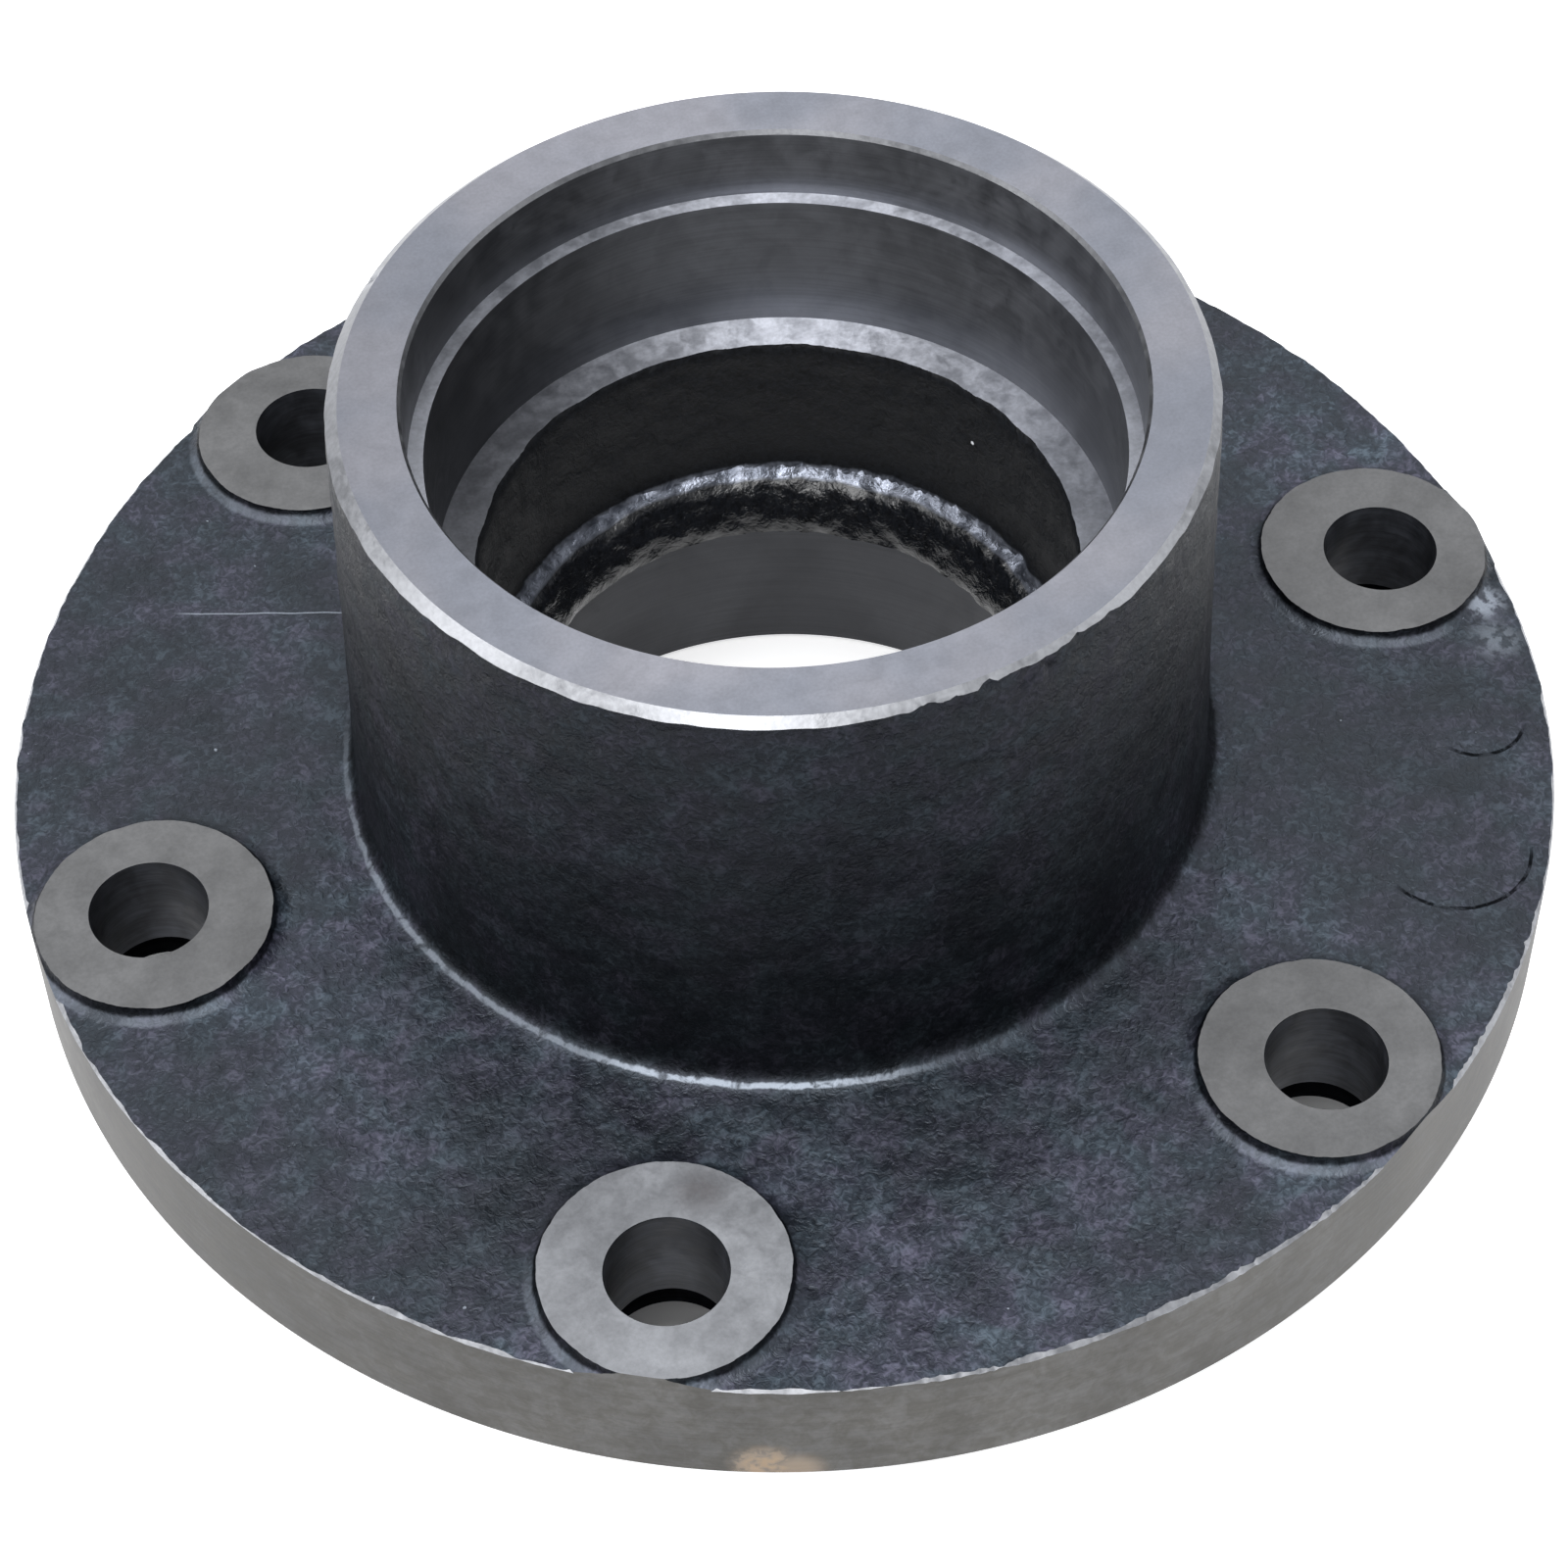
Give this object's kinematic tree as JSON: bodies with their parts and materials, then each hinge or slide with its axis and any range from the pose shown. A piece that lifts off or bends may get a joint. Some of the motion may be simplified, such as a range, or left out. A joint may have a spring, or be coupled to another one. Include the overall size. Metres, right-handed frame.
{
  "type": "flanged bearing hub",
  "caption": "Cast iron flanged bearing hub: round flange with raised bolt pads, tall hollow neck, short spigot and a stepped through bore with bearing and seal seats.",
  "frame": {"origin": "centre of the spigot's end face, on the hub axis", "axes": "+Z along the hub axis, from the spigot to the open end of the neck; +X through a bolt hole"},
  "size_m": [0.24, 0.24, 0.113],
  "materials": {
    "cast_iron": "as-cast dark skin with turned and spot-faced areas"
  },
  "bodies": {
    "root": {"hub_casting": "cast_iron"}
  },
  "joints": []
}
